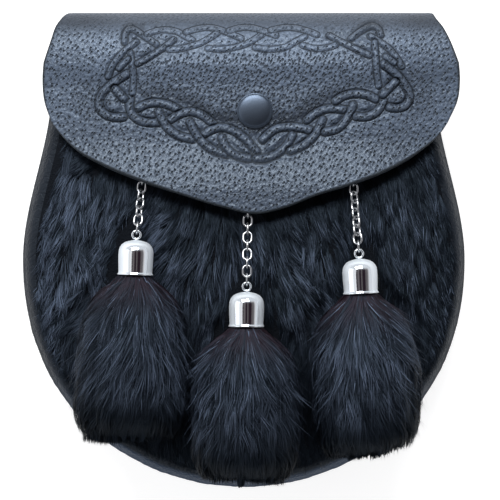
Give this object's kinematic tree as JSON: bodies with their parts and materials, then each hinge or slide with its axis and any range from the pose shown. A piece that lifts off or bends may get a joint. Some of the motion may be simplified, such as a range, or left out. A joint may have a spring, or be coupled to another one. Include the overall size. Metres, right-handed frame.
{
  "type": "sporran pouch",
  "caption": "Leather pouch with a fur front, a rolled-over flap with a metal snap, and fur tassels that hang from chains.",
  "frame": {"origin": "below the middle of the whole, on the surface that the back rests on", "axes": "+X towards the right of the front as it is looked at, +Y towards the folded top, +Z out of the fur front"},
  "size_m": [0.1902, 0.2032, 0.0671],
  "materials": {
    "smooth_leather": "smooth black, half gloss",
    "pebbled_leather": "pebbled blue-grey black, embossed with a braided border",
    "fur": "black fur, combed down",
    "gunmetal": "dark satin",
    "chrome": "polished"
  },
  "bodies": {
    "root": {"back_panel": "smooth_leather", "gusset": "smooth_leather", "front_panel": "smooth_leather", "front_fur": "fur", "flap": "pebbled_leather", "snap_cap": "gunmetal", "snap_post": "gunmetal", "belt_loop_left": "smooth_leather", "belt_loop_right": "smooth_leather", "hanger_left": "smooth_leather", "link_left_01": "chrome", "link_left_02": "chrome", "link_left_03": "chrome", "link_left_04": "chrome", "link_left_05": "chrome", "link_left_06": "chrome", "link_left_07": "chrome", "cap_left": "chrome", "tassel_left": "fur", "hanger_middle": "smooth_leather", "link_middle_01": "chrome", "link_middle_02": "chrome", "link_middle_03": "chrome", "link_middle_04": "chrome", "link_middle_05": "chrome", "link_middle_06": "chrome", "link_middle_07": "chrome", "link_middle_08": "chrome", "link_middle_09": "chrome", "link_middle_10": "chrome", "link_middle_11": "chrome", "cap_middle": "chrome", "tassel_middle": "fur", "hanger_right": "smooth_leather", "link_right_01": "chrome", "link_right_02": "chrome", "link_right_03": "chrome", "link_right_04": "chrome", "link_right_05": "chrome", "link_right_06": "chrome", "link_right_07": "chrome", "link_right_08": "chrome", "link_right_09": "chrome", "cap_right": "chrome", "tassel_right": "fur"}
  },
  "joints": []
}
